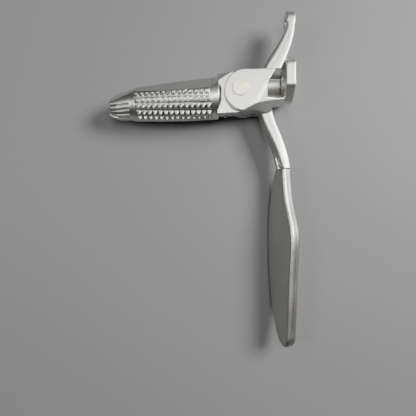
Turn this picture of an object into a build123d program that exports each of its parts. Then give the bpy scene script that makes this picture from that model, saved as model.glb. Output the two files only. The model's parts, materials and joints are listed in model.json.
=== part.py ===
from build123d import *
import os
from math import atan2, cos, degrees, radians, sin

# Folding foot peg on its hanger. Millimetres, +Z up along the hinge pin.
# The origin is the centre of the flange's bearing face, on the axis of the mounting bolt.
# +X points out of that face. The heel plate lies towards -Y and the upper arm towards +Y.
# Places in the plane are measured from the hinge pin's axis, heights from the origin.

# ---------------------------------------------------------------- driving dimensions
floor_z = -15.5  # plane that the whole thing rests on when it is laid down
pin_x = -38.0
pin_y = -8.0
running_gap = 0.3  # between pieces that move past each other

# Flange
flange_t = 6.6
flange_corner_r = 4.5
# Outline of the flange about the bolt: a flat top, a sloped south shoulder
flange_outline = [
    (10.6, 15.5),
    (-6.0, 15.5),
    (-14.9, 3.0),
    (-14.9, -4.0),
    (-7.5, -15.5),
    (7.5, -15.5),
    (15.0, -6.0),
    (15.0, 9.0),
]
bolt_r = 4.25
flange_left = -pin_x - flange_t  # from the pin
flange_y = -pin_y

# Clevis
ear_top = 16.5
ear_t = 5.5
ear_bottom = -8.8
ear_r = 14.3
ear_cx = 3.4
ear_cy = -1.4
ear_edge_y = 12.85  # straight north edge of both ears
web_x = 12.8  # end wall of the slot between the ears
stop_x = 3.0  # west end of the wall that closes the slot's south side and stops the peg
wall_y = -12.8  # inner face of that wall
wall_outer_y = -14.6
window_top = -0.8  # the wall stops short of the lower ear
slot_top = ear_top - ear_t
slot_bottom = ear_bottom + ear_t

# Bolt pocket between the web and the flange
pocket_x = 18.8
pocket_r = 9.0
cup_bottom = -11.0
pocket_south = -5.8  # rim of its sloped south wall
pocket_north = 13.6  # upright north wall, under which the spot face runs on
lip_bottom = 10.5
lip = [(pocket_x - 1, 3.0), (pocket_x, 4.3), (23.5, 12.0), (23.5, ear_edge_y), (pocket_x - 1, ear_edge_y)]

# Arms: x, y, thickness, height, level of the top edge, lean of that edge towards +X in degrees
upper_arm = [
    (20.6, 9.0, 13.0, 15.5, 13.4, 0.0),
    (25.0, 19.0, 12.0, 15.0, 13.4, 0.0),
    (29.6, 27.7, 10.0, 15.0, 13.4, 0.0),
    (32.4, 34.2, 8.2, 15.0, 13.4, 0.0),
    (34.6, 41.4, 6.2, 15.0, 13.4, 0.0),
    (34.9, 48.5, 5.3, 15.0, 13.4, 0.0),
]
lower_arm = [
    (16.8, -4.0, 9.4, 15.0, 4.0, 0.0),
    (19.8, -14.3, 9.0, 15.0, 3.9, 2.0),
    (22.8, -22.5, 8.4, 14.6, 3.8, 4.0),
    (26.6, -31.0, 7.8, 14.2, 3.8, 7.0),
    (30.4, -40.0, 7.2, 13.4, 3.8, 11.0),
    (34.4, -54.0, 6.4, 12.0, 3.4, 18.0),
]
# Channel in the lower arm's west face between its last two stations
arm_channel_depths = [0.3, 2.8]
arm_channel_height = 5.0
arm_corner = 0.25  # of the thickness
eye_r = 7.5
eye_t = 5.8  # its bearing face stands a little proud of the arm
eye_hole_r = 3.3

# Heel plate
heel_lean = 29.0
heel_t = 7.8
heel_foot_x = 20.5  # where the line of its left face meets the resting plane
heel_edge_r = 1.9
heel_lift = 0.13  # how far that line lies over the plane, so that the rounded edge rests on it
heel_start = 54.0  # distance south of the pin
# Outline of the plate in its own plane: distance south of the pin, height up the slope
heel_outline = [
    (54.0, 22.3),
    (67.0, 23.2),
    (80.0, 25.6),
    (91.0, 29.2),
    (101.0, 31.4),
    (112.0, 31.3),
    (131.5, 29.9),
    (152.0, 28.8),
    (171.0, 27.6),
    (179.0, 25.6),
    (181.0, 22.4),
    (179.0, 18.2),
    (171.0, 13.2),
    (158.0, 9.2),
    (143.0, 6.2),
    (126.0, 4.2),
    (104.0, 3.4),
    (81.0, 4.9),
    (68.0, 7.7),
    (54.0, 12.4),
]
tang_t = 3.0
tang_width = 7.6
tang_length = 17.0
tang_v = 17.2
tang_fit = 0.05
heel_screw_r = 1.6
heel_screw_head_r = 2.9
heel_screw_head_t = 1.3
heel_screw_u = (60.0, 67.0)
heel_screw_socket_r = 1.2
heel_screw_socket_depth = 1.1

# Hinge pin and what is on it
pin_r = 4.0
pin_fit = 0.02
pin_head_r = 5.6
pin_head_t = 1.3
pin_tail = 3.8
bush_r = 5.0
bush_clearance = 0.05
washer_r = 8.0
washer_t = 1.2
circlip_t = 1.0
circlip_r = 6.2
circlip_groove_r = 3.2
circlip_gap = 55.0  # degrees

# Detent
detent_plate_t = 1.2
detent_plate_r = 13.5
ball_r = 2.0
ball_bore_r = 2.05
ball_track_r = 7.4
track_half_width = 2.0
ball_angle = 225.0  # place of the ball round the pin with the peg out
fold_angle = 80.0
ball_foot = slot_bottom + running_gap
ball_z = ball_foot + ball_r
ball_bore_depth = 9.0
spring_wire_r = 0.3
spring_r = 1.5
spring_turns = 5

# Foot peg
tongue_top = slot_top - running_gap
tongue_bottom = slot_bottom + detent_plate_t + running_gap
tongue_end_x = web_x - running_gap
tongue_r = 12.4
tongue_low_y = (tongue_r**2 - (stop_x - running_gap) ** 2) ** 0.5
spring_washer_r = 7.9
spring_washer_t = 0.8
spring_washer_recess = 1.1
plug_ball_r = 1.5
plug_ball_x = -9.6
plug_ball_y = -15.6
plug_ball_z = 0.4
peg_z = -0.4  # level of the body's axis
# Sections of the body: x, centre y, half width, half height
peg_body = [
    (-12.9, -3.2, 11.8, 11.4),
    (-14.8, -3.3, 14.8, 15.1),
    (-36.0, -5.0, 14.4, 14.4),
    (-56.0, -6.6, 13.2, 13.0),
    (-74.6, -7.9, 11.8, 11.4),
]
peg_tip = [
    (-74.6, -7.9, 11.2, 10.8),
    (-86.0, -9.3, 9.4, 9.0),
    (-90.6, -9.6, 7.6, 7.4),
    (-92.2, -9.7, 6.0, 5.8),
]
flute_r = 0.8
flute_lift = 0.1
flute_start = -77.3
flute_angles = [6.0, 27.0, 46.0, 66.0]
tread_row_step = 20.0
tread_start = -19.5
tread_twist = 0.24  # degrees per millimetre
tread_x = -71.9
tread_slant = 0.55
tread_pitch = 3.78
tread_columns = 14
tread_rows = 5
stud_length = 3.68
stud_width = 0.3  # of the body's half width
stud_height = 1.9
stud_taper = 33.0
stud_sunk = 0.5


def at_pin(z):
    """Level plane through the hinge pin's axis."""
    return Plane(origin=(pin_x, pin_y, z))


def across(x, y, z, heading):
    """Upright plane across something that runs towards heading, in degrees from +X."""
    run = (cos(radians(heading)), sin(radians(heading)), 0)
    return Plane(origin=(pin_x + x, pin_y + y, z), x_dir=(-run[1], run[0], 0), z_dir=run)


def arm_section(stations, i):
    """Plane across an arm at station i, at the middle of its height."""
    before = stations[max(i - 1, 0)]
    after = stations[min(i + 1, len(stations) - 1)]
    run_x = after[0] - before[0]
    if after is stations[i]:
        run_x = 0  # both arms end square to Y
    heading = degrees(atan2(after[1] - before[1], run_x))
    x, y, _, height, top, lean = stations[i]
    drop = height / 2
    return across(x - drop * sin(radians(lean)), y, top - drop * cos(radians(lean)), heading)


# Plane of the heel plate's left face: x runs south along the plate, y up its slope
heel_plane = Plane(
    origin=(pin_x + heel_foot_x, pin_y, floor_z + heel_lift),
    x_dir=(0, -1, 0),
    z_dir=(-cos(radians(heel_lean)), 0, sin(radians(heel_lean))),
)
bolt_plane = Plane(origin=(0, 0, 0), x_dir=(0, 1, 0), z_dir=(1, 0, 0))
eye_y = pin_y + upper_arm[-1][1]
eye_z = upper_arm[-1][4] - eye_r


def facet(first, second, third, up):
    """Plane through three places given from the pin, facing up (or down)."""
    start, along, across_it = (Vector(pin_x + x, pin_y + y, z) for x, y, z in (first, second, third))
    normal = (along - start).cross(across_it - start)
    if (normal.Z > 0) != up:
        normal = -normal
    return Plane(origin=start, x_dir=along - start, z_dir=normal)


flank_plane = facet((4.0, wall_outer_y, 16.0), (22.0, -7.2, 13.0), (22.0, -14.0, 3.2), True)
# Facets of the peg's north side: the flare over the tongue's corner, along the body, along the tip.
# The first two meet along one line.
flare = facet((-20.0, 1.05, 13.75), (-20.0, 10.5, 2.45), (-13.5, 7.85, tongue_top), True)
body_flank = facet((-20.0, 1.05, 13.75), (-73.7, -0.4, 8.5), (-20.0, 10.5, 2.45), True)
tip_flank = facet((-77.0, -1.0, 7.3), (-90.5, -6.9, 6.5), (-85.0, -0.5, 1.0), True)
# Slopes that fall from the ears' diagonal edge towards the lower arm: start of the upper line, fall
shoulder_heading = 60.0
shoulder_slopes = [(15.0, 10.0), (16.0, 19.0), (16.6, 27.0)]
shoulder_planes = [
    Plane(
        origin=(pin_x + x, pin_y + 0.3, ear_top),
        x_dir=(cos(radians(shoulder_heading)), sin(radians(shoulder_heading)), 0),
        z_dir=(
            sin(radians(shoulder_heading)) * sin(radians(fall)),
            -cos(radians(shoulder_heading)) * sin(radians(fall)),
            cos(radians(fall)),
        ),
    )
    for x, fall in shoulder_slopes
]

# ---------------------------------------------------------------- hanger
with BuildPart() as hanger:
    # clevis block with its web
    with BuildSketch(at_pin(ear_bottom)):
        with Locations((ear_cx, ear_cy)):
            Circle(ear_r)
        Polygon(
            (ear_cx, ear_edge_y),
            (flange_left, 13.4),
            (flange_left, -7.4),
            (24.0, -8.0),
            (22.5, wall_outer_y),
            (ear_cx, wall_outer_y),
            align=None,
        )
    extrude(amount=ear_top - ear_bottom)
    # slanted south-east flank, from the stop wall to the pocket's rim
    with BuildSketch(flank_plane):
        Rectangle(120, 60)
    extrude(amount=30, mode=Mode.SUBTRACT)
    # cup under the bolt pocket
    with BuildSketch(at_pin(cup_bottom)):
        Polygon((15, 13), (flange_left, 15.5), (flange_left, -6.5), (18, -6.5), align=None)
    extrude(amount=ear_bottom - cup_bottom)
    # shoulder that falls away from the ears' diagonal edge towards the lower arm
    for shoulder_plane in shoulder_planes:
        with BuildSketch(shoulder_plane):
            with Locations((0, -30)):
                Rectangle(90, 60)
        extrude(amount=20, mode=Mode.SUBTRACT)
    # arms
    for stations in (upper_arm, lower_arm):
        for i, (x, y, thickness, height, top, lean) in enumerate(stations):
            with BuildSketch(arm_section(stations, i)):
                RectangleRounded(thickness, height, arm_corner * thickness, rotation=-lean)
        loft()
    # channel in the lower arm
    for i, depth in enumerate(arm_channel_depths, len(lower_arm) - 2):
        thickness = lower_arm[i][2]
        lean = lower_arm[i][5]
        with BuildSketch(arm_section(lower_arm, i)):
            with Locations(Location((0, 0, 0), (0, 0, -lean))):
                with Locations((-thickness / 2, 0.6)):
                    Rectangle(2 * depth, arm_channel_height)
    loft(mode=Mode.SUBTRACT)
    # eye at the end of the upper arm
    with BuildSketch(bolt_plane.offset(-eye_t)):
        with Locations((eye_y, eye_z)):
            Circle(eye_r)
    extrude(amount=eye_t)
    # flange
    with BuildSketch(bolt_plane.offset(-flange_t)) as lug:
        Polygon(*flange_outline, align=None)
        fillet(lug.vertices(), flange_corner_r)
    extrude(amount=flange_t)
    # pocket for the bolt's head, open at the top
    with BuildSketch(bolt_plane.offset(pin_x + pocket_x)):
        Circle(pocket_r)
        Polygon(
            (pocket_south - flange_y, ear_top),
            (pocket_south - flange_y, 10.0),
            (-pocket_r, 0),
            (pocket_north - flange_y, 0),
            (pocket_north - flange_y, ear_top),
            align=None,
        )
    extrude(amount=flange_left - pocket_x, mode=Mode.SUBTRACT)
    # corner of the upper ear, over the pocket
    with BuildSketch(at_pin(lip_bottom)):
        Polygon(*lip, align=None)
    extrude(amount=ear_top - lip_bottom)
    # slot between the ears
    with BuildSketch(at_pin(slot_bottom)):
        with Locations((stop_x - 25, 0)):
            Rectangle(50, 60)
        with Locations(((stop_x + web_x) / 2, 15 + wall_y / 2)):
            Rectangle(web_x - stop_x, 30 - wall_y)
    extrude(amount=slot_top - slot_bottom, mode=Mode.SUBTRACT)
    # window under the stop wall
    with BuildSketch(at_pin(slot_bottom)):
        with Locations((web_x - 6, -15)):
            Rectangle(12, 30)
    extrude(amount=window_top - slot_bottom, mode=Mode.SUBTRACT)
    # bores for the pin, the mounting bolt and the eye
    with BuildSketch(at_pin(ear_bottom)):
        Circle(pin_r + pin_fit)
    extrude(amount=ear_top - ear_bottom, mode=Mode.SUBTRACT)
    with BuildSketch(bolt_plane.offset(-flange_t)):
        Circle(bolt_r)
    extrude(amount=flange_t, mode=Mode.SUBTRACT)
    with BuildSketch(bolt_plane.offset(-eye_t - 1)):
        with Locations((eye_y, eye_z)):
            Circle(eye_hole_r)
    extrude(amount=eye_t + 2, mode=Mode.SUBTRACT)
    # tang that carries the heel plate, with its two screw holes
    with BuildSketch(heel_plane.offset(-(heel_t - tang_t) / 2)):
        with Locations((heel_start + tang_length / 2 - 1, tang_v)):
            Rectangle(tang_length + 2, tang_width)
    extrude(amount=-tang_t)
    with BuildSketch(heel_plane.offset(-(heel_t - tang_t) / 2)):
        with Locations(*[(u, tang_v) for u in heel_screw_u]):
            Circle(heel_screw_r)
    extrude(amount=-tang_t, mode=Mode.SUBTRACT)
hanger.part.label = "hanger"

# ---------------------------------------------------------------- heel plate
with BuildPart() as heel_plate:
    with BuildSketch(heel_plane):
        with BuildLine():
            Line((heel_start, heel_outline[-1][1]), (heel_start, heel_outline[0][1]))
            Spline(*heel_outline)
        make_face()
    extrude(amount=-heel_t)
    fillet(heel_plate.edges().filter_by(GeomType.BSPLINE), heel_edge_r)
    # slot for the tang
    with BuildSketch(heel_plane.offset(tang_fit - (heel_t - tang_t) / 2)):
        with Locations((heel_start + tang_length / 2, tang_v)):
            Rectangle(tang_length + 2 * tang_fit, tang_width + 2 * tang_fit)
    extrude(amount=-tang_t - 2 * tang_fit, mode=Mode.SUBTRACT)
    # countersunk screw holes on the hidden side
    with BuildSketch(heel_plane.offset(-heel_t)):
        with Locations(*[(u, tang_v) for u in heel_screw_u]):
            Circle(heel_screw_r)
    extrude(amount=heel_t / 2, mode=Mode.SUBTRACT)
    with BuildSketch(heel_plane.offset(-heel_t)):
        with Locations(*[(u, tang_v) for u in heel_screw_u]):
            Circle(heel_screw_head_r)
    extrude(amount=heel_screw_head_t, taper=45, mode=Mode.SUBTRACT)
heel_plate.part.label = "heel_plate"


# ---------------------------------------------------------------- heel plate's screws
with BuildPart() as heel_plate_screws:
    with BuildSketch(heel_plane.offset(-heel_t + 0.1)):
        with Locations(*[(u, tang_v) for u in heel_screw_u]):
            Circle(heel_screw_head_r - 0.15)
    extrude(amount=heel_screw_head_t - 0.1, taper=45)
    with BuildSketch(heel_plane.offset(-heel_t + 0.1)):
        with Locations(*[(u, tang_v) for u in heel_screw_u]):
            Circle(heel_screw_r)
    extrude(amount=(heel_t + tang_t) / 2 - 0.3)
    with BuildSketch(heel_plane.offset(-heel_t + 0.1)):
        with Locations(*[(u, tang_v) for u in heel_screw_u]):
            RegularPolygon(heel_screw_socket_r, 6)
    extrude(amount=heel_screw_socket_depth, mode=Mode.SUBTRACT)
heel_plate_screws.part.label = "heel_plate_screws"

# ---------------------------------------------------------------- hinge pin, washer, circlip
washer_top = ear_bottom
circlip_top = washer_top - washer_t
pin_foot = ear_bottom - pin_tail
with BuildPart() as hinge_pin:
    with BuildSketch(at_pin(ear_top)):
        Circle(pin_head_r)
    extrude(amount=pin_head_t)
    fillet(hinge_pin.edges().group_by(Axis.Z)[-1], 0.35)
    with BuildSketch(at_pin(pin_foot)):
        Circle(pin_r)
    extrude(amount=ear_top - pin_foot)
    chamfer(hinge_pin.edges().group_by(Axis.Z)[0], 0.5)
    with BuildSketch(at_pin(circlip_top - circlip_t)):
        Circle(pin_r + 1)
        Circle(circlip_groove_r, mode=Mode.SUBTRACT)
    extrude(amount=circlip_t, mode=Mode.SUBTRACT)
hinge_pin.part.label = "hinge_pin"

with BuildPart() as pin_washer:
    with BuildSketch(at_pin(washer_top - washer_t)):
        Circle(washer_r)
        Circle(pin_r + 0.2, mode=Mode.SUBTRACT)
    extrude(amount=washer_t)
    chamfer(pin_washer.edges().filter_by(lambda e: e.length > 6 * washer_r), 0.25)
pin_washer.part.label = "pin_washer"

with BuildPart() as pin_circlip:
    with BuildSketch(at_pin(circlip_top - circlip_t)):
        Circle(circlip_r)
        Circle(circlip_groove_r, mode=Mode.SUBTRACT)
        with BuildLine():
            gap_side = PolarLine((0, 0), 12, -circlip_gap / 2)
            PolarLine((0, 0), 12, circlip_gap / 2)
            Line(gap_side @ 1, (12 * cos(radians(circlip_gap / 2)), 12 * sin(radians(circlip_gap / 2))))
        make_face(mode=Mode.SUBTRACT)
    extrude(amount=circlip_t)
pin_circlip.part.label = "pin_circlip"

# ---------------------------------------------------------------- detent
ball_x = ball_track_r * cos(radians(ball_angle))
ball_y = ball_track_r * sin(radians(ball_angle))
with BuildPart() as detent_plate:
    with BuildSketch(at_pin(slot_bottom)):
        with Locations((ear_cx, ear_cy)):
            Circle(detent_plate_r)
        with Locations((web_x - 20, 0)):
            Rectangle(40 - 0.4, 2 * ear_edge_y - 0.8, mode=Mode.INTERSECT)
        # corner tab that keeps the plate from turning
        Polygon((6, -10), (12.6, -8), (12.6, -15.1), (9.6, -15.3), (9, -13), align=None)
        Circle(pin_r + 0.1, mode=Mode.SUBTRACT)
        # track of the ball
        with BuildLine():
            track_start = ball_angle - fold_angle
            CenterArc((0, 0), ball_track_r + track_half_width, track_start, fold_angle)
            CenterArc((0, 0), ball_track_r - track_half_width, track_start, fold_angle)
            for end, turn in ((track_start, -180), (ball_angle, 180)):
                centre = (ball_track_r * cos(radians(end)), ball_track_r * sin(radians(end)))
                CenterArc(centre, track_half_width, end, turn)
        make_face(mode=Mode.SUBTRACT)
    extrude(amount=detent_plate_t)
detent_plate.part.label = "detent_plate"

with BuildPart() as detent_ball:
    with Locations((pin_x + ball_x, pin_y + ball_y, ball_z)):
        Sphere(ball_r)
detent_ball.part.label = "detent_ball"

spring_foot = ball_z + ball_r
spring_head = tongue_bottom + ball_bore_depth
spring_height = spring_head - spring_foot - 2 * spring_wire_r
with BuildPart() as detent_spring:
    spring_base = Plane(origin=(pin_x + ball_x, pin_y + ball_y, spring_foot + spring_wire_r))
    with BuildLine(spring_base):
        coil = Helix(pitch=spring_height / spring_turns, height=spring_height, radius=spring_r)
    with BuildSketch(Plane(origin=coil @ 0, z_dir=coil % 0)):
        Circle(spring_wire_r)
    sweep(path=coil, is_frenet=True)
detent_spring.part.label = "detent_spring"

# ---------------------------------------------------------------- foot peg


def peg_at(sections, x):
    """Centre y, half width and half height of the body at x, between its sections."""
    for (x0, *near), (x1, *far) in zip(sections, sections[1:]):
        if x1 <= x <= x0:
            share = (x0 - x) / (x0 - x1)
            return [a + (b - a) * share for a, b in zip(near, far)]


def on_skin(x, angle):
    """Plane that touches the body's skin at x, at angle degrees from its top towards the south."""
    centre_y, half_width, half_height = peg_at(peg_body, x)
    s = sin(radians(angle))
    c = cos(radians(angle))
    spot = (pin_x + x, pin_y + centre_y - half_width * s, peg_z + half_height * c)
    return Plane(origin=spot, x_dir=(1, 0, 0), z_dir=(0, -s / half_width, c / half_height))


with BuildPart() as foot_peg:
    for sections in (peg_body, peg_tip):
        for x, centre_y, half_width, half_height in sections:
            with BuildSketch(across(x, centre_y, peg_z, 180)):
                Ellipse(half_width, half_height)
        loft(ruled=True)
    # tongue between the ears: round on the side that sweeps past the web, square where it stops
    with BuildSketch(at_pin(tongue_bottom)):
        with BuildLine():
            Polyline(
                (0, tongue_r), (-7, 12.6), (-15.5, 13.2), (-15.5, -16.4),
                (stop_x - running_gap, -15.4), (stop_x - running_gap, -tongue_low_y),
            )
            ThreePointArc((stop_x - running_gap, -tongue_low_y), (tongue_r, 0), (0, tongue_r))
        make_face()
    extrude(amount=tongue_top - tongue_bottom)
    # flat flank along the north side of body and tip, flared up to the tongue's corner
    for plane, x_range, y_range in (
        (flare, (-25, 30), (-16, 0)),
        (body_flank, (-0.5, 55), (-30, 30)),
        (tip_flank, (-2, 22), (-30, 30)),
    ):
        with BuildSketch(plane):
            with Locations((sum(x_range) / 2, sum(y_range) / 2)):
                Rectangle(x_range[1] - x_range[0], y_range[1] - y_range[0])
        extrude(amount=12, mode=Mode.SUBTRACT)
    # tread of pointed studs
    for row in range(tread_rows):
        for column in range(tread_columns):
            x = tread_x + tread_slant * row + column * tread_pitch
            angle = tread_start + tread_twist * (x - tread_x) + row * tread_row_step
            with BuildSketch(on_skin(x, angle).offset(-stud_sunk)):
                Rectangle(stud_length, stud_width * peg_at(peg_body, x)[1])
            extrude(amount=stud_height + stud_sunk, taper=stud_taper)
    # flutes along the tip, out to its end
    for angle in flute_angles:
        ends = []
        for x in (flute_start, peg_tip[1][0], peg_tip[-1][0]):
            centre_y, half_width, half_height = peg_at(peg_tip, x)
            ends.append(
                (
                    pin_x + x,
                    pin_y + centre_y - (half_width + flute_lift) * sin(radians(angle)),
                    peg_z + (half_height + flute_lift) * cos(radians(angle)),
                )
            )
        for near, far in zip(ends, ends[1:]):
            with BuildLine():
                flute = Line(near, far)
            with BuildSketch(Plane(origin=near, z_dir=flute % 0)):
                Circle(flute_r)
            sweep(path=flute, mode=Mode.SUBTRACT)
    # bore for the bushes, recess of the spring washer, bore of the ball, seat of the plug ball
    with BuildSketch(at_pin(tongue_bottom)):
        Circle(bush_r)
    extrude(amount=tongue_top - tongue_bottom, mode=Mode.SUBTRACT)
    with BuildSketch(at_pin(tongue_top - spring_washer_recess)):
        Circle(spring_washer_r + 0.3)
    extrude(amount=spring_washer_recess, mode=Mode.SUBTRACT)
    with BuildSketch(at_pin(tongue_bottom)):
        with Locations((ball_x, ball_y)):
            Circle(ball_bore_r)
    extrude(amount=ball_bore_depth, mode=Mode.SUBTRACT)
    with BuildSketch(across(plug_ball_x, plug_ball_y, plug_ball_z, -90)):
        Circle(plug_ball_r)
    extrude(amount=3, both=True, mode=Mode.SUBTRACT)
foot_peg.part.label = "foot_peg"


bushes = []
bush_height = (tongue_top - spring_washer_recess - tongue_bottom) / 2
for name, foot in (
    ("peg_bush_lower", tongue_bottom),
    ("peg_bush_upper", tongue_bottom + bush_height),
):
    with BuildPart() as bush:
        with BuildSketch(at_pin(foot)):
            Circle(bush_r)
            Circle(pin_r + bush_clearance, mode=Mode.SUBTRACT)
        extrude(amount=bush_height - 0.1)
    bush.part.label = name
    bushes.append(bush)

with BuildPart() as wave_washer:
    with BuildSketch(at_pin(tongue_top - spring_washer_recess)):
        Circle(spring_washer_r)
        Circle(pin_r + 0.4, mode=Mode.SUBTRACT)
    extrude(amount=spring_washer_t)
wave_washer.part.label = "wave_washer"

with BuildPart() as plug_ball:
    with Locations((pin_x + plug_ball_x, pin_y + plug_ball_y, plug_ball_z)):
        Sphere(plug_ball_r)
plug_ball.part.label = "plug_ball"

pieces = [
    hanger,
    heel_plate,
    heel_plate_screws,
    hinge_pin,
    pin_washer,
    pin_circlip,
    detent_plate,
    detent_ball,
    detent_spring,
    foot_peg,
    wave_washer,
    plug_ball,
    *bushes,
]
os.makedirs("parts", exist_ok=True)
for piece in pieces:
    export_step(piece.part, f"parts/{piece.part.label}.step")
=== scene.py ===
import json
from math import pi

import bpy
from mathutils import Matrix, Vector

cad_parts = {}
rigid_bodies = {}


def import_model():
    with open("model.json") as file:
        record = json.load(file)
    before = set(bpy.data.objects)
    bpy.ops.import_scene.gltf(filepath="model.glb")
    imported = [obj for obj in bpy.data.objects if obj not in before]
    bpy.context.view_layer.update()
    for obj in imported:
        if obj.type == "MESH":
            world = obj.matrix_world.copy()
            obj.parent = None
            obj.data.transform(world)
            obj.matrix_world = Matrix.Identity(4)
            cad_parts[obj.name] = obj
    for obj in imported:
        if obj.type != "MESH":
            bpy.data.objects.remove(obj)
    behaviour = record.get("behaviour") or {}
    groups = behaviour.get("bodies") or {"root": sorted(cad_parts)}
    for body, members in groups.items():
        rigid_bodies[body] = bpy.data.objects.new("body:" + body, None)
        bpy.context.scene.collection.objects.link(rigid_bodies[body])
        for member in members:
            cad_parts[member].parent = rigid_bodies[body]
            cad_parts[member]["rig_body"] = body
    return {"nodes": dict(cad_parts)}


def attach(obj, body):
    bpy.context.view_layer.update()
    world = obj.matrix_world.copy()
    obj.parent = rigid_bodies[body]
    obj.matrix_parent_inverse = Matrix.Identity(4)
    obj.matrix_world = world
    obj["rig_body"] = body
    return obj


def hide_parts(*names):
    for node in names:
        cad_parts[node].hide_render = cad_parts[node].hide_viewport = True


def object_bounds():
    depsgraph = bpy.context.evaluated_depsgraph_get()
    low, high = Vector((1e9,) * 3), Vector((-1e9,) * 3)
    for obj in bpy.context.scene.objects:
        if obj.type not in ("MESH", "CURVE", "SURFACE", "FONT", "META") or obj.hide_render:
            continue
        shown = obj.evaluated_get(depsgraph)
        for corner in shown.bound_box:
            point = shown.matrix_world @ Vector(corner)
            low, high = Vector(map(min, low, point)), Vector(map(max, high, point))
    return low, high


# Folding foot peg on its hanger: looks, light and camera. Metres.

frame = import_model()
cad_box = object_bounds()
nodes = frame["nodes"]

MM = 0.001
FLOOR = cad_box[0][2]
PIN = Vector((-38.0, -8.0, 0.0)) * MM


# ---------------------------------------------------------------- shader maths
class Wire:
    """A socket that can be used in sums."""

    def __init__(self, tree, socket):
        self.tree = tree
        self.socket = socket

    def math(self, operation, other, flip=False):
        first, second = (other, self) if flip else (self, other)
        return add_node(self.tree, "ShaderNodeMath", {"operation": operation}, {0: first, 1: second})

    def __add__(self, other):
        return self.math("ADD", other)

    __radd__ = __add__

    def __mul__(self, other):
        return self.math("MULTIPLY", other)

    __rmul__ = __mul__

    def __sub__(self, other):
        return self.math("SUBTRACT", other)

    def __rsub__(self, other):
        return self.math("SUBTRACT", other, flip=True)


def add_node(tree, kind, settings=None, values=None, output=0):
    """Any node: its settings first, then the values or links of its sockets."""
    node = tree.nodes.new(kind)
    for name, value in (settings or {}).items():
        if name == "stops":
            ramp = node.color_ramp
            while len(ramp.elements) < len(value):
                ramp.elements.new(0.5)
            for element, (place, colour) in zip(ramp.elements, value):
                element.position = place
                element.color = (*colour, 1.0) if isinstance(colour, tuple) else (colour,) * 3 + (1.0,)
        else:
            setattr(node, name, value)
    for key, value in (values or {}).items():
        socket = node.inputs[key]
        if isinstance(value, Wire):
            tree.links.new(value.socket, socket)
        else:
            socket.default_value = value
    return Wire(tree, node.outputs[output])


def mix(tree, factor, first, second):
    """Blends two colours."""
    settings = {"data_type": "RGBA", "clamp_factor": True}
    return add_node(tree, "ShaderNodeMix", settings, {0: factor, 6: first, 7: second}, output=2)


def ramp(tree, value, *stops):
    return add_node(tree, "ShaderNodeValToRGB", {"stops": stops}, {0: value})


def noise(tree, where, scale, detail=2.0, roughness=0.5):
    values = {"Vector": where, "Scale": scale, "Detail": detail, "Roughness": roughness}
    return add_node(tree, "ShaderNodeTexNoise", {}, values)


def raised(tree, height, strength, distance):
    """A bump of this height map."""
    values = {"Strength": strength, "Distance": distance, "Height": height}
    return add_node(tree, "ShaderNodeBump", {}, values)


def new_finish(name):
    """An empty material and its shader."""
    finish = bpy.data.materials.new(name)
    finish.use_nodes = True
    tree = finish.node_tree
    shader = tree.nodes["Principled BSDF"]
    where = add_node(tree, "ShaderNodeTexCoord", output=3)
    return finish, tree, shader, where


def connect(tree, shader, **sockets):
    for name, wire in sockets.items():
        tree.links.new(wire.socket, shader.inputs[name.replace("_", " ")])


# ---------------------------------------------------------------- finishes
BLAST_GRAIN = 0.12 * MM
RING_PITCH = 0.35 * MM
RING_DEPTH = 0.01 * MM
PATINA_DEPTH = 0.03 * MM


def cast_metal(name, tone, crease_shade_tone, rubbed_and_highlight, roughness):
    """Bead-blasted casting: fine grain, clouded sheen, painted shade in the creases, edges rubbed
    bright as wear and partly as a painted highlight.
    """
    finish, tree, shader, where = new_finish(name)
    shader.inputs["Metallic"].default_value = 1.0
    clouds = noise(tree, where, 45.0, 3.0)
    specks = noise(tree, where, 1500.0, 2.0, 0.6)
    bend = add_node(tree, "ShaderNodeNewGeometry", output=7)
    # Convex edges made brighter: partly rubbed wear, partly a painted highlight.
    edge_wear_and_highlight = ramp(tree, bend, (0.515, 0.0), (0.56, 1.0))
    # Painted shade: concave creases are darkened towards the crease tone.
    crease_shade = ramp(tree, bend, (0.44, 1.0), (0.492, 0.0))
    patch = ramp(tree, noise(tree, where, 130.0, 4.0), (0.42, 0.0), (0.62, 1.0))
    dull = (*(0.9 * part for part in tone[:3]), 1.0)
    body = mix(tree, ramp(tree, clouds, (0.35, 0.0), (0.65, 0.55)), tone, dull)
    worn_and_highlit = mix(tree, edge_wear_and_highlight * (patch * 0.6 + 0.4), body, rubbed_and_highlight)
    shade_in_creases = mix(tree, crease_shade * 0.8, worn_and_highlit, crease_shade_tone)
    sheen = roughness + (clouds - 0.5) * 0.16 + (specks - 0.5) * 0.1 - edge_wear_and_highlight * 0.06
    bump = raised(tree, specks, 0.5, BLAST_GRAIN)
    connect(tree, shader, Base_Color=shade_in_creases, Roughness=sheen, Normal=bump)
    return finish


def turned_metal(name, tone, stain, roughness, centre):
    """Turned steel: fine rings about the centre's upright axis, clouded by age."""
    finish, tree, shader, where = new_finish(name)
    shader.inputs["Metallic"].default_value = 1.0
    placed = add_node(
        tree, "ShaderNodeVectorMath", {"operation": "SUBTRACT"}, {0: where, 1: tuple(centre)}
    )
    flat = add_node(
        tree, "ShaderNodeVectorMath", {"operation": "MULTIPLY"}, {0: placed, 1: (1.0, 1.0, 0.0)}
    )
    radius = add_node(tree, "ShaderNodeVectorMath", {"operation": "LENGTH"}, {0: flat}, output=1)
    rings = add_node(tree, "ShaderNodeMath", {"operation": "SINE"}, {0: radius * (2 * pi / RING_PITCH)})
    age = noise(tree, where, 260.0, 4.0, 0.6)
    flecks = noise(tree, where, 1400.0, 1.0)
    body = mix(tree, ramp(tree, age, (0.38, 0.0), (0.68, 1.0)), tone, stain)
    sheen = roughness + (age - 0.5) * 0.3 + (flecks - 0.5) * 0.1
    bump = raised(tree, rings + flecks, 0.5, RING_DEPTH)
    connect(tree, shader, Base_Color=body, Roughness=sheen, Normal=bump)
    return finish


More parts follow.
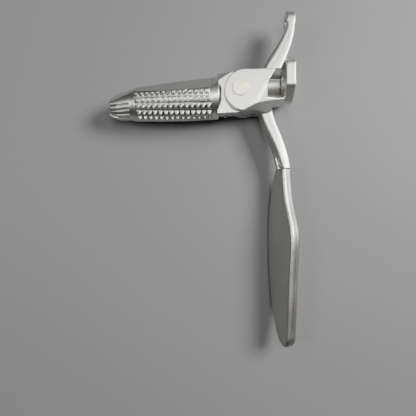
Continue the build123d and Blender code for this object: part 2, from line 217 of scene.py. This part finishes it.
def plain_metal(name, tone, stain, roughness):
    """Small hardware: plated or oiled steel, bronze."""
    finish, tree, shader, where = new_finish(name)
    shader.inputs["Metallic"].default_value = 1.0
    age = noise(tree, where, 400.0, 4.0, 0.6)
    body = mix(tree, ramp(tree, age, (0.4, 0.0), (0.66, 1.0)), tone, stain)
    sheen = roughness + (age - 0.5) * 0.3
    bump = raised(tree, age, 0.3, PATINA_DEPTH)
    connect(tree, shader, Base_Color=body, Roughness=sheen, Normal=bump)
    return finish


blasted_hanger = cast_metal(
    "blasted_hanger", (0.70, 0.695, 0.665, 1), (0.10, 0.095, 0.08, 1), (0.90, 0.89, 0.87, 1), 0.40
)
# Painted shade: the heel plate is the same cast aluminium as the hanger, given a darker tone because
# its leaning face lies in shade.
shade_darkened_plate = cast_metal(
    "shade_darkened_plate", (0.50, 0.495, 0.475, 1), (0.12, 0.11, 0.09, 1), (0.80, 0.79, 0.77, 1), 0.37
)
blasted_peg = cast_metal(
    "blasted_peg", (0.68, 0.675, 0.65, 1), (0.08, 0.075, 0.065, 1), (0.95, 0.94, 0.92, 1), 0.34
)
pin_metal = turned_metal(
    "pin_metal", (0.97, 0.89, 0.68, 1), (0.80, 0.70, 0.48, 1), 0.36, PIN
)
# Painted shade: the parting-line threads are cast metal, coloured near black for the shade along the
# seam.
seam_shade_metal = plain_metal("seam_shade_metal", (0.10, 0.097, 0.09, 1), (0.05, 0.05, 0.045, 1), 0.5)
zinc_metal = plain_metal("zinc_metal", (0.62, 0.63, 0.64, 1), (0.42, 0.42, 0.41, 1), 0.34)
oiled_metal = plain_metal("oiled_metal", (0.16, 0.16, 0.17, 1), (0.08, 0.075, 0.07, 1), 0.36)
bronze_metal = plain_metal("bronze_metal", (0.60, 0.42, 0.22, 1), (0.36, 0.24, 0.12, 1), 0.4)
copper_metal = plain_metal("copper_metal", (0.24, 0.10, 0.07, 1), (0.12, 0.06, 0.045, 1), 0.42)
ball_metal = plain_metal("ball_metal", (0.86, 0.86, 0.87, 1), (0.78, 0.78, 0.78, 1), 0.12)

FINISHES = {
    "hanger": blasted_hanger,
    "heel_plate": shade_darkened_plate,
    "heel_plate_screws": zinc_metal,
    "foot_peg": blasted_peg,
    "hinge_pin": pin_metal,
    "pin_washer": zinc_metal,
    "pin_circlip": oiled_metal,
    "peg_bush_lower": bronze_metal,
    "peg_bush_upper": bronze_metal,
    "wave_washer": oiled_metal,
    "detent_plate": copper_metal,
    "detent_ball": ball_metal,
    "detent_spring": oiled_metal,
    "plug_ball": ball_metal,
}


def give_finish(piece, finish):
    piece.data.materials.clear()
    piece.data.materials.append(finish)


for name, finish in FINISHES.items():
    give_finish(nodes[name], finish)


# ---------------------------------------------------------------- pieces
def take(piece):
    """Selects this piece alone."""
    bpy.ops.object.select_all(action="DESELECT")
    piece.select_set(True)
    bpy.context.view_layer.objects.active = piece


def put_on(piece, name):
    """The piece moves with the CAD node's body."""
    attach(piece, nodes[name]["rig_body"])


def casting(name, rounds, **skin):
    """The CAD casting with an even skin and the soft corners that a mould leaves."""
    piece = bpy.data.objects.new(f"{name}_casting", nodes[name].data.copy())
    bpy.context.scene.collection.objects.link(piece)
    take(piece)
    bpy.ops.object.mode_set(mode="EDIT")
    bpy.ops.mesh.select_all(action="SELECT")
    bpy.ops.mesh.remove_doubles(threshold=1e-6)
    bpy.ops.object.mode_set(mode="OBJECT")
    remesh = piece.modifiers.new("skin", "REMESH")
    for key, value in skin.items():
        setattr(remesh, key, value)
    bpy.ops.object.modifier_apply(modifier=remesh.name)
    soften = piece.modifiers.new("soften", "SMOOTH")
    soften.factor = 0.5
    soften.iterations = rounds
    bpy.ops.object.modifier_apply(modifier=soften.name)
    bpy.ops.object.shade_smooth()
    give_finish(piece, FINISHES[name])
    put_on(piece, name)
    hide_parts(name)


casting("hanger", 5, mode="VOXEL", voxel_size=0.42 * MM)
casting("heel_plate", 4, mode="VOXEL", voxel_size=0.45 * MM)
casting("foot_peg", 1, mode="SHARP", octree_depth=8, scale=0.95)


THREAD_RADIUS = 0.17 * MM
STEPS_PER_SPAN = 8
CLEAR_OF_TOP = 60.0  # height from which the castings are felt for, in millimetres


def parting_line(name, host, spots):
    """The mould's parting line: a fine raised thread along a casting's crest, seen from above."""
    skin = bpy.data.objects[f"{host}_casting"]
    line = bpy.data.curves.new(name, "CURVE")
    line.dimensions = "3D"
    line.bevel_depth = THREAD_RADIUS
    line.bevel_resolution = 1
    line.use_fill_caps = True
    places = []
    for (x0, y0), (x1, y1) in zip(spots, spots[1:]):
        for step in range(STEPS_PER_SPAN):
            share = step / STEPS_PER_SPAN
            spot = Vector((x0 + (x1 - x0) * share, y0 + (y1 - y0) * share, CLEAR_OF_TOP))
            above = PIN + spot * MM
            found, place, _, _ = skin.ray_cast(above, Vector((0, 0, -1)))
            if found:
                places.append(place)
    spline = line.splines.new("POLY")
    spline.points.add(len(places) - 1)
    for point, place in zip(spline.points, places):
        point.co = (*place, 1.0)
    thread = bpy.data.objects.new(name, line)
    bpy.context.scene.collection.objects.link(thread)
    take(thread)
    bpy.ops.object.convert(target="MESH")
    # Painted shade: the thread gets the near-black seam colour.
    give_finish(thread, seam_shade_metal)
    put_on(thread, host)


# Lines on the crests, each as places from the pin, in millimetres
UPPER_CREST = [(21.0, 14.5), (25.0, 19.0), (29.6, 27.7), (32.4, 34.2), (34.2, 40.5)]
LOWER_CREST = [(20.2, -16.5), (22.6, -22.5), (26.2, -31.0), (29.8, -40.0), (33.0, -52.5)]
PLATE_CREST = [
    (34.0, -56.0),
    (34.6, -68.0),
    (36.0, -80.0),
    (37.9, -91.0),
    (39.2, -101.0),
    (39.0, -112.0),
    (38.4, -131.5),
    (37.7, -152.0),
    (36.9, -171.0),
]
parting_line("upper_parting_line", "hanger", UPPER_CREST)
parting_line("lower_parting_line", "hanger", LOWER_CREST)
parting_line("plate_parting_line", "heel_plate", PLATE_CREST)

# ---------------------------------------------------------------- floor, light, camera
FLOOR_SIZE = 6.0
bpy.ops.mesh.primitive_plane_add(size=FLOOR_SIZE, location=(0, 0, FLOOR))
floor = bpy.context.object
floor.name = "floor"
floor_finish, floor_tree, floor_shader, floor_where = new_finish("floor_finish")
floor_shader.inputs["Base Color"].default_value = (0.15, 0.15, 0.15, 1)
floor_shader.inputs["Roughness"].default_value = 0.6
give_finish(floor, floor_finish)


def softbox(name, place, target, size, power):
    """A soft rectangular lamp that faces its target."""
    data = bpy.data.lights.new(name, "AREA")
    data.shape = "RECTANGLE"
    data.size, data.size_y = size
    data.energy = power
    lamp = bpy.data.objects.new(name, data)
    lamp.location = place
    aim = Vector(target) - Vector(place)
    lamp.rotation_euler = aim.to_track_quat("-Z", "Y").to_euler()
    bpy.context.scene.collection.objects.link(lamp)


middle = Vector((-60.1, -90.0, 0.0)) * MM
softbox("key", middle + Vector((0.95, 0.45, 0.9)), middle, (0.6, 0.5), 36.0)
softbox("top", middle + Vector((0.1, 0.15, 1.3)), middle, (0.5, 0.5), 7.5)
softbox("west", middle + Vector((-0.85, 0.1, 1.0)), middle, (0.4, 0.4), 5.0)

world = bpy.data.worlds.new("studio")
world.use_nodes = True
world.node_tree.nodes["Background"].inputs["Color"].default_value = (0.9, 0.93, 1.0, 1)
world.node_tree.nodes["Background"].inputs["Strength"].default_value = 0.04
bpy.context.scene.world = world

EYE_HEIGHT = 299.5 * MM
camera_data = bpy.data.cameras.new("camera")
camera_data.sensor_width = 36.0
camera_data.lens = 36.09
camera_data.clip_start = 0.01
camera = bpy.data.objects.new("camera", camera_data)
camera.location = (middle.x, middle.y, EYE_HEIGHT)
camera.rotation_euler = (0, 0, 0)
bpy.context.scene.collection.objects.link(camera)
bpy.context.scene.camera = camera
